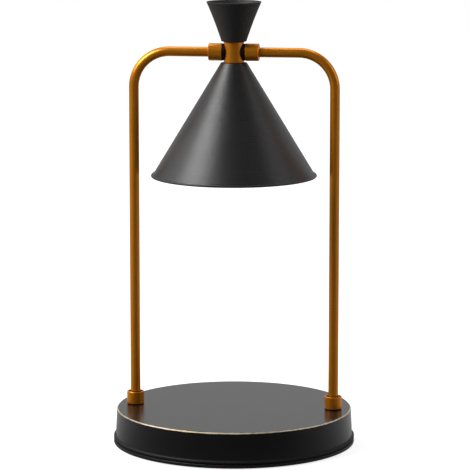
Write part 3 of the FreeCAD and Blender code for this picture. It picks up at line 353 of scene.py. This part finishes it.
def antique_gold():
    """Brushed brass under a tinted satin lacquer, with painted shade darkening the hollows of the foot
    collars.
    """
    material, tree, shader, place = new_material("antique_gold")
    cloud = noise(tree, place, scale=55.0, detail=5.0, roughness=0.6)
    brushed = noise(tree, stretched(tree, place, (500.0, 500.0, 2600.0)), scale=1.0, roughness=0.6)
    lacquer = blend(tree, cloud, (0.74, 0.228, 0.004, 1), (0.92, 0.330, 0.010, 1))
    finish_shader(
        tree, shader,
        # The lacquer turns dark brown in the hollows of the foot collars: painted shade
        Base_Color=blend(tree, collar_hollow_shade(tree, place), lacquer, (0.10, 0.030, 0.004, 1)),
        Metallic=0.7,
        Roughness=varied(tree, cloud, 0.30, 0.37),
        Normal=bump(tree, brushed, strength=0.12, distance=0.02 * MILLIMETRE),
        Coat_Weight=0.2,
        Coat_Roughness=0.22,
    )
    return material


def base_plastic():
    """Black moulded plastic of the bottom plate."""
    material, tree, shader, place = new_material("base_plastic")
    mottle = noise(tree, place, scale=60.0, detail=4.0)
    grain = noise(tree, place, scale=1400.0, roughness=0.6)
    finish_shader(
        tree, shader,
        Base_Color=blend(tree, mottle, (0.0070, 0.0070, 0.0072, 1), (0.0115, 0.0112, 0.0115, 1)),
        Roughness=varied(tree, grain, 0.38, 0.50),
        Normal=bump(tree, grain, strength=0.2, distance=0.04 * MILLIMETRE),
        IOR=1.48,
    )
    return material


def pad_rubber():
    """Foamed rubber with open cells."""
    material, tree, shader, place = new_material("pad_rubber")
    cells = add(tree, "ShaderNodeTexVoronoi", {"Vector": place, "Scale": 1500.0}).outputs["Distance"]
    mottle = noise(tree, place, scale=120.0)
    finish_shader(
        tree, shader,
        Base_Color=blend(tree, mottle, (0.016, 0.016, 0.017, 1), (0.030, 0.030, 0.031, 1)),
        Roughness=span(tree, cells, low=0.0, high=0.7, start=0.75, end=0.95),
        Normal=bump(tree, cells, strength=0.6, distance=0.2 * MILLIMETRE),
    )
    return material


def moulded(name, dark, light, rough, grain_scale=1800.0, **more):
    """Moulded polymer with a fine spark-eroded grain."""
    material, tree, shader, place = new_material(name)
    mottle = noise(tree, place, scale=150.0)
    grain = noise(tree, place, scale=grain_scale, detail=2.0)
    finish_shader(
        tree, shader,
        Base_Color=blend(tree, mottle, (*dark, 1), (*light, 1)),
        Roughness=varied(tree, grain, rough - MOULD_SMOOTHER, rough + MOULD_ROUGHER),
        Normal=bump(tree, grain, strength=0.25, distance=0.05 * MILLIMETRE),
        **more,
    )
    return material


def washer_fibre():
    """Dark fibre with hardly any shine."""
    dark, light = (0.004, 0.002, 0.001), (0.008, 0.004, 0.003)
    return moulded("washer_fibre", dark, light, rough=0.6, Specular_IOR_Level=0.15)


def bush_plastic():
    return moulded("bush_plastic", (0.014, 0.014, 0.014), (0.022, 0.021, 0.021), rough=0.42)


def block_plastic():
    return moulded("block_plastic", (0.72, 0.70, 0.64), (0.82, 0.80, 0.75), rough=0.38)


def lead_sheath():
    dark, light = (0.020, 0.020, 0.021), (0.033, 0.032, 0.032)
    return moulded("lead_sheath", dark, light, rough=0.5, grain_scale=900.0)


def wire_sleeve():
    """Woven glass fibre sleeve: two crossed sets of strands that wind round the wire."""
    material, tree, shader, place = new_material("wire_sleeve")
    parts = axes(tree, place)
    along = maths(tree, "MULTIPLY", parts[2], STRANDS_ALONG)
    round_wire = maths(tree, "MULTIPLY", parts[0], STRANDS_ROUND)
    one_way = maths(tree, "SINE", maths(tree, "ADD", along, round_wire))
    other_way = maths(tree, "SINE", maths(tree, "SUBTRACT", along, round_wire))
    weave = maths(tree, "MAXIMUM", one_way, other_way)
    raised = span(tree, weave, low=-0.6, high=0.9)
    finish_shader(
        tree, shader,
        Base_Color=blend(tree, raised, (0.50, 0.47, 0.40, 1), (0.84, 0.82, 0.76, 1)),
        Roughness=span(tree, weave, low=-1.0, high=1.0, start=0.8, end=0.6),
        Normal=bump(tree, weave, strength=0.5, distance=0.1 * MILLIMETRE),
    )
    return material


def iron():
    """Raw grey casting with a sand-cast skin and a little rust."""
    material, tree, shader, place = new_material("iron")
    skin = noise(tree, place, scale=420.0, detail=6.0, roughness=0.7)
    rust = span(tree, noise(tree, place, scale=60.0, detail=4.0), low=0.58, high=0.75)
    grey = blend(tree, skin, (0.055, 0.053, 0.050, 1), (0.13, 0.125, 0.12, 1))
    finish_shader(
        tree, shader,
        Base_Color=blend(tree, rust, grey, (0.11, 0.055, 0.03, 1)),
        Metallic=0.6,
        Roughness=varied(tree, skin, 0.55, 0.8),
        Normal=bump(tree, skin, strength=0.6, distance=0.3 * MILLIMETRE),
    )
    return material


def zinc_steel():
    """Bright zinc plate with a faint blue and yellow bloom and fine turning marks."""
    material, tree, shader, place = new_material("zinc_steel")
    bloom = noise(tree, place, scale=130.0, detail=4.0)
    marks = noise(tree, stretched(tree, place, (300.0, 300.0, 5200.0)), scale=1.0)
    finish_shader(
        tree, shader,
        Base_Color=blend(tree, bloom, (0.47, 0.49, 0.53, 1), (0.66, 0.64, 0.57, 1)),
        Metallic=1.0,
        Roughness=varied(tree, bloom, 0.26, 0.42),
        Normal=bump(tree, marks, strength=0.2, distance=0.03 * MILLIMETRE),
    )
    return material


def contact_brass():
    """Plain brass with patches of tarnish."""
    material, tree, shader, place = new_material("contact_brass")
    tarnish = noise(tree, place, scale=300.0, detail=4.0)
    finish_shader(
        tree, shader,
        Base_Color=blend(tree, tarnish, (0.52, 0.37, 0.13, 1), (0.80, 0.62, 0.28, 1)),
        Metallic=1.0,
        Roughness=varied(tree, tarnish, 0.24, 0.4),
    )
    return material


def ceramic():
    """White steatite with a clear glaze and fine specks."""
    material, tree, shader, place = new_material("ceramic")
    specks = span(tree, noise(tree, place, scale=1100.0, detail=2.0), low=0.66, high=0.74)
    clay = blend(tree, noise(tree, place, scale=80.0), (0.74, 0.72, 0.66, 1), (0.82, 0.81, 0.77, 1))
    ripple = noise(tree, place, scale=500.0, detail=2.0)
    finish_shader(
        tree, shader,
        Base_Color=blend(tree, specks, clay, (0.48, 0.44, 0.37, 1)),
        Roughness=span(tree, specks, low=0.0, high=1.0, start=0.32, end=0.5),
        Coat_Weight=0.4,
        Coat_Roughness=0.12,
        Normal=bump(tree, ripple, strength=0.1, distance=0.05 * MILLIMETRE),
    )
    return material


def bulb_mirror():
    """Bright coating on pressed glass, with a trace of dust."""
    material, tree, shader, place = new_material("bulb_mirror")
    dust = noise(tree, place, scale=240.0)
    orange_peel = noise(tree, place, scale=700.0, detail=2.0)
    finish_shader(
        tree, shader,
        Base_Color=blend(tree, dust, (0.74, 0.74, 0.76, 1), (0.88, 0.88, 0.88, 1)),
        Metallic=1.0,
        Roughness=varied(tree, dust, 0.06, 0.13),
        Normal=bump(tree, orange_peel, strength=0.08, distance=0.04 * MILLIMETRE),
    )
    return material


def bulb_glass():
    """Clear glass with a slight ripple."""
    material, tree, shader, place = new_material("bulb_glass")
    ripple = noise(tree, place, scale=160.0, detail=2.0)
    finish_shader(
        tree, shader,
        Base_Color=blend(tree, ripple, (0.90, 0.92, 0.91, 1), (0.98, 0.98, 0.97, 1)),
        Roughness=varied(tree, ripple, 0.0, 0.02),
        Normal=bump(tree, ripple, strength=0.05, distance=0.1 * MILLIMETRE),
        Transmission_Weight=1.0,
        IOR=1.47,
    )
    return material


MATERIALS = {
    "base_paint": base_paint,
    "shade_paint": shade_paint,
    "base_plastic": base_plastic,
    "antique_gold": antique_gold,
    "pad_rubber": pad_rubber,
    "bush_plastic": bush_plastic,
    "washer_fibre": washer_fibre,
    "block_plastic": block_plastic,
    "lead_sheath": lead_sheath,
    "wire_sleeve": wire_sleeve,
    "iron": iron,
    "zinc_steel": zinc_steel,
    "contact_brass": contact_brass,
    "ceramic": ceramic,
    "bulb_mirror": bulb_mirror,
    "bulb_glass": bulb_glass,
}


def dress_nodes():
    """Gives every CAD node the finish of its material slot, which takes the slot's name."""
    slots = {name: node.data.materials[0].name for name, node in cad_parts.items()}
    used = sorted(set(slots.values()))
    for slot in used:
        bpy.data.materials[slot].name = f"{slot}_packed"
    finishes = {slot: MATERIALS[slot]() for slot in used}
    for name, slot in slots.items():
        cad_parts[name].data.materials[0] = finishes[slot]
    return finishes


def add_object(name, data):
    """New object in the scene."""
    thing = bpy.data.objects.new(name, data)
    bpy.context.collection.objects.link(thing)
    return thing


def turned(mesh, corners, steps, closed=False, inward=False):
    """Adds the surface that corners of (radius, height) sweep round the upright axis.

    A closed one joins its last corner to its first. An inward one is the wall of a cavity.
    """
    angles = [math.tau * step / steps for step in range(steps)]
    ways = [(math.cos(angle), math.sin(angle)) for angle in angles]
    rings = []
    for radius, height in corners:
        points = [(radius * across, radius * back, height) for across, back in ways]
        if radius == 0:
            points = [(0, 0, height)]
        rings.append([mesh.verts.new(point) for point in points])
    following = rings[1:] + rings[:1] if closed else rings[1:]
    faces = []
    for low, high in zip(rings, following):
        for step in range(steps):
            after = (step + 1) % steps
            lower = [low[step % len(low)], low[after % len(low)]]
            upper = [high[after % len(high)], high[step % len(high)]]
            loop = list(dict.fromkeys(lower + upper))
            if len(loop) > 2:
                faces.append(mesh.faces.new(loop))
    bmesh.ops.recalc_face_normals(mesh, faces=faces)
    if inward:
        bmesh.ops.reverse_faces(mesh, faces=faces)


def finished_piece(name, mesh, smooth=True):
    """Object from a finished mesh, smooth except where two faces meet at a clear angle."""
    for face in mesh.faces:
        face.smooth = smooth
    for edge in mesh.edges:
        edge.smooth = edge.is_manifold and edge.calc_face_angle(math.pi) < CREASE
    data = bpy.data.meshes.new(name)
    mesh.to_mesh(data)
    mesh.free()
    return add_object(name, data)


def assign(piece, finishes, slot, body):
    """Gives a piece its finish and the body that it moves with."""
    piece.data.materials.clear()
    piece.data.materials.append(finishes[slot])
    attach(piece, body)


def carve(piece, cutter):
    """Cuts one object out of another, cleans the cut mesh and removes the cutter."""
    modifier = piece.modifiers.new("carve", "BOOLEAN")
    modifier.operation = "DIFFERENCE"
    modifier.solver = "EXACT"
    modifier.object = cutter
    graph = bpy.context.evaluated_depsgraph_get()
    carved = bpy.data.meshes.new_from_object(piece.evaluated_get(graph))
    piece.modifiers.clear()
    mesh = bmesh.new()
    mesh.from_mesh(carved)
    bmesh.ops.triangulate(mesh, faces=mesh.faces)
    bmesh.ops.remove_doubles(mesh, verts=mesh.verts, dist=WELD_DISTANCE)
    bmesh.ops.dissolve_degenerate(mesh, edges=mesh.edges, dist=WELD_DISTANCE)
    mesh.to_mesh(carved)
    mesh.free()
    piece.data = carved
    bpy.data.objects.remove(cutter)


def recess_bar(length, width, depth, top, angle):
    """Cutter for one bar of a cross recess, narrower at its bottom."""
    mesh = bmesh.new()
    bmesh.ops.create_cube(mesh, size=1.0)
    for vertex in mesh.verts:
        share = 1.0 if vertex.co.z > 0 else RECESS_TAPER
        across = vertex.co.x * length * share
        beside = vertex.co.y * width * share
        turned_x = across * math.cos(angle) - beside * math.sin(angle)
        turned_y = across * math.sin(angle) + beside * math.cos(angle)
        height = top + RECESS_OVERSHOOT if vertex.co.z > 0 else top - depth
        vertex.co = (turned_x, turned_y, height)
    return finished_piece("recess_bar", mesh)


def crown(head_radius, head_height):
    """Corners of a screw head above its seat, domed over its upper half, from rim to middle."""
    rise = head_height / 2
    curve = (head_radius ** 2 + rise ** 2) / (2 * rise)
    slope = math.asin(head_radius / curve)
    corners = [(head_radius, 0.0)]
    for step in range(CURVE_STEPS):
        angle = slope * (1 - step / CURVE_STEPS)
        corners.append((curve * math.sin(angle), head_height - curve * (1 - math.cos(angle))))
    corners.append((0, head_height))
    return corners


def cross_screw(name, low, high, middle, head_down, shank_radius, head_radius, head_height):
    """Domed screw with a cross recess, standing between the heights low and high."""
    mesh = bmesh.new()
    shank = high - low - head_height
    chamfer = SCREW_CHAMFER * shank_radius
    end = [(0, -shank), (shank_radius - chamfer, -shank), (shank_radius, chamfer - shank)]
    turned(mesh, end + [(shank_radius, 0.0)] + crown(head_radius, head_height), ROUND_STEPS)
    screw = finished_piece(name, mesh)
    length = RECESS_LENGTH * head_radius
    width = RECESS_WIDTH * head_radius
    depth = RECESS_DEPTH * head_height
    for angle in RECESS_ANGLES:
        carve(screw, recess_bar(length, width, depth, head_height, angle))
    seat = low + head_height if head_down else high - head_height
    way = -1 if head_down else 1
    for vertex in screw.data.vertices:
        across, beside, height = vertex.co
        vertex.co = (across + middle[0], beside * way + middle[1], seat + height * way)
    return screw


def add_screws(finishes):
    """Screws with recesses, in place of the plain ones in the cup and under the base."""
    low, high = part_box("cup_screw")
    screw = cross_screw("cup_cross_screw", low.z, high.z, (0, 0), head_down=False, **CUP_SCREW)
    assign(screw, finishes, "zinc_steel", "head")
    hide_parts("cup_screw")
    low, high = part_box("bottom_screws")
    for number in range(BASE_SCREWS):
        name = f"base_cross_screw_{number + 1}"
        angle = math.tau * number / BASE_SCREWS
        middle = (BASE_SCREW_CIRCLE * math.cos(angle), BASE_SCREW_CIRCLE * math.sin(angle))
        screw = cross_screw(name, low.z, high.z, middle, head_down=True, **BASE_SCREW)
        assign(screw, finishes, "zinc_steel", "stand")
        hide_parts("bottom_screws")


def add_facets(finishes):
    """Coating of the reflector: flat facets in rows, on a curve inside the pressed bowl."""
    low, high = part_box("bulb_reflector")
    wide = BOWL_MOUTH_RADIUS
    narrow = BOWL_NECK_RADIUS
    bottom = low.z + BOWL_MOUTH_RISE
    top = high.z - BOWL_NECK_DROP
    chord = math.hypot(wide - narrow, top - bottom)
    outward = ((top - bottom) / chord, (wide - narrow) / chord)
    bulge = BOWL_CURVE - math.sqrt(BOWL_CURVE ** 2 - (chord / 2) ** 2)

    def corner(share, inset):
        """Corner at a share of the way up, bulged out from the chord and set in from the bowl."""
        offset = 4 * bulge * share * (1 - share) - inset
        radius = wide + (narrow - wide) * share + outward[0] * offset
        height = bottom + (top - bottom) * share + outward[1] * offset
        return radius, height

    shares = [step / FACET_ROWS for step in range(FACET_ROWS + 1)]
    inner = [corner(share, COATING_INSET) for share in shares]
    outer = [corner(share, COATING_INSET - COATING_DEPTH) for share in reversed(shares)]
    mesh = bmesh.new()
    turned(mesh, inner + outer, FACETS_ROUND, closed=True)
    coating = finished_piece("reflector_facets", mesh, smooth=False)
    assign(coating, finishes, "bulb_mirror", "bulb")


def tip_corners(radius, tip):
    """Quarter round from the side of the capsule to its tip on the axis."""
    corners = []
    for step in range(CURVE_STEPS):
        angle = math.pi / 2 * step / CURVE_STEPS
        corners.append((radius * math.cos(angle), tip + radius * (1 - math.sin(angle))))
    return corners + [(0, tip)]


def coil_points(bottom):
    """Points of the filament's helix, from its lower end up."""
    points = []
    for step in range(FILAMENT_STEPS * FILAMENT_TURNS + 1):
        angle = math.tau * step / FILAMENT_STEPS
        height = bottom + FILAMENT_LENGTH * step / (FILAMENT_STEPS * FILAMENT_TURNS)
        points.append((FILAMENT_RADIUS * math.cos(angle), FILAMENT_RADIUS * math.sin(angle), height))
    return points


def add_wire(name, points, radius, finishes):
    """Round wire along points."""
    curve = bpy.data.curves.new(name, "CURVE")
    curve.dimensions = "3D"
    curve.bevel_depth = radius
    curve.bevel_resolution = WIRE_ROUNDNESS
    curve.use_fill_caps = True
    line = curve.splines.new("POLY")
    line.points.add(len(points) - 1)
    for point, place in zip(line.points, points):
        point.co = (*place, 1)
    assign(add_object(name, curve), finishes, "zinc_steel", "bulb")


def add_capsule(finishes):
    """Hollow glass capsule with its coiled filament on two stiff leads."""
    low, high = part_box("bulb_capsule")
    radius = high.x
    bore = radius - CAPSULE_WALL
    ceiling = high.z - CAPSULE_SEAL
    outside = [(0, high.z), (radius, high.z)] + tip_corners(radius, low.z)
    cavity = [(0, ceiling), (bore, ceiling)] + tip_corners(bore, low.z + CAPSULE_WALL)
    mesh = bmesh.new()
    turned(mesh, outside, ROUND_STEPS)
    turned(mesh, cavity, ROUND_STEPS, inward=True)
    capsule = finished_piece("glass_capsule", mesh)
    assign(capsule, finishes, "bulb_glass", "bulb")
    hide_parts("bulb_capsule")
    bottom = low.z + radius
    root = ceiling + CAPSULE_SEAL / 2
    add_wire("filament", coil_points(bottom), FILAMENT_WIRE, finishes)
    ends = (("outer_lead", bottom, LEAD_ASIDE), ("inner_lead", bottom + FILAMENT_LENGTH, -LEAD_ASIDE))
    for name, height, aside in ends:
        bend = [(FILAMENT_RADIUS, 0, height), (aside, 0, height), (aside, 0, root)]
        add_wire(name, bend, LEAD_WIRE, finishes)


def direction(turn, rise):
    """Unit vector away from the object, turned from the camera's side towards its right."""
    around = CAMERA_TURN + math.radians(turn)
    up = math.radians(rise)
    return Vector((math.sin(around) * math.cos(up), -math.cos(around) * math.cos(up), math.sin(up)))


def softbox(name, turn, rise, distance, width, height, radiance):
    """Area lamp that faces the object's middle. The camera doesn't see it."""
    lamp = bpy.data.lights.new(name, "AREA")
    lamp.shape = "RECTANGLE"
    lamp.size = width
    lamp.size_y = height
    lamp.energy = radiance * math.pi * width * height
    box = add_object(name, lamp)
    way = direction(turn, rise)
    box.location = LAMP_TARGET + way * distance
    box.rotation_euler = way.to_track_quat("Z", "Y").to_euler()
    box.visible_camera = False


def light_studio():
    """Four softboxes in a dim studio with a brighter backdrop. The camera sees plain white."""
    softbox("key_lamp", **KEY_LAMP)
    softbox("wing_lamp", **WING_LAMP)
    softbox("fill_lamp", **FILL_LAMP)
    softbox("top_lamp", **TOP_LAMP)
    world = bpy.data.worlds.new("studio")
    bpy.context.scene.world = world
    tree = fresh_tree(world)
    way = add(tree, "ShaderNodeTexCoord").outputs["Generated"]
    behind = span(tree, axes(tree, way)[1], *BACKDROP_EDGE, STUDIO_GLOW, BACKDROP_GLOW, smooth=True)
    seen = add(tree, "ShaderNodeLightPath").outputs["Is Camera Ray"]
    glow = maths(tree, "MAXIMUM", seen, behind)
    background = add(tree, "ShaderNodeBackground", {"Color": WHITE, "Strength": glow})
    add(tree, "ShaderNodeOutputWorld", {"Surface": background.outputs[0]})


def mirrored_floor(tree, place, distance):
    """Glow of the floor in reflections: dark in front of the lamp, bright beside and behind it."""
    parts = axes(tree, place)
    aside = maths(tree, "MULTIPLY", parts[0], math.sin(CAMERA_TURN))
    ahead = maths(tree, "MULTIPLY", parts[1], -math.cos(CAMERA_TURN))
    facing = maths(tree, "DIVIDE", maths(tree, "ADD", aside, ahead), distance)
    near = span(tree, parts[1], *NEAR_FLOOR_DEPTHS, *NEAR_FLOOR_REFLECTED, smooth=True)
    far = span(tree, facing, *FAR_FLOOR_FACING, *FAR_FLOOR_REFLECTED, smooth=True)
    return span(tree, distance, *NEAR_TO_FAR, near, far, smooth=True)


def floor_white():
    """White with a painted soft shadow near the lamp, that glows less in reflections and is clear from
    below.
    """
    material = bpy.data.materials.new("floor_white")
    tree = fresh_tree(material)
    rays = add(tree, "ShaderNodeLightPath").outputs
    seen = maths(tree, "MAXIMUM", rays["Is Camera Ray"], rays["Is Transmission Ray"])
    place = object_place(tree)
    distance, _, _ = cylinder_place(tree, place)
    mirrored = mirrored_floor(tree, place, distance)
    # Glow as the camera sees it, lower near the lamp: a painted soft shadow
    glow_with_painted_shadow = span(tree, distance, *SHADOW_REACH, FLOOR_GLOW_NEAR, FLOOR_GLOW_FAR, smooth=True)
    strength = span(tree, seen, low=0.0, high=1.0, start=mirrored, end=glow_with_painted_shadow)
    matt = add(tree, "ShaderNodeBsdfDiffuse", {"Color": blend(tree, seen, FLOOR_REFLECTED, FLOOR_SEEN)})
    glow = add(tree, "ShaderNodeEmission", {"Color": WHITE, "Strength": strength})
    both = add(tree, "ShaderNodeAddShader", {0: matt.outputs[0], 1: glow.outputs[0]})
    clear = add(tree, "ShaderNodeBsdfTransparent").outputs[0]
    underside = add(tree, "ShaderNodeNewGeometry").outputs["Backfacing"]
    one_sided = add(tree, "ShaderNodeMixShader", {0: underside, 1: both.outputs[0], 2: clear})
    add(tree, "ShaderNodeOutputMaterial", {"Surface": one_sided.outputs[0]})
    return material


def lay_floor():
    """Flat ground just under the foot pad."""
    mesh = bmesh.new()
    bmesh.ops.create_grid(mesh, x_segments=FLOOR_CELLS, y_segments=FLOOR_CELLS, size=FLOOR_SIZE / 2)
    data = bpy.data.meshes.new("floor")
    mesh.to_mesh(data)
    mesh.free()
    data.materials.append(floor_white())
    floor = add_object("floor", data)
    floor.location.z = -FLOOR_DROP


def set_camera():
    """Camera where the photograph was taken from."""
    camera = bpy.data.cameras.new("camera")
    camera.lens = LENS
    camera.sensor_width = SENSOR
    camera.clip_start = CLIP_START
    camera.clip_end = CLIP_END
    holder = add_object("camera", camera)
    cosine = math.cos(CAMERA_TURN)
    sine = math.sin(CAMERA_TURN)
    holder.location = (
        CAMERA_ASIDE * cosine + CAMERA_DISTANCE * sine,
        CAMERA_ASIDE * sine - CAMERA_DISTANCE * cosine,
        CAMERA_HEIGHT,
    )
    holder.rotation_euler = (math.pi / 2 - CAMERA_PITCH, 0, CAMERA_TURN)
    bpy.context.scene.camera = holder


bpy.context.scene.view_settings.view_transform = "Standard"
finishes = dress_nodes()
add_screws(finishes)
add_facets(finishes)
add_capsule(finishes)
light_studio()
lay_floor()
set_camera()
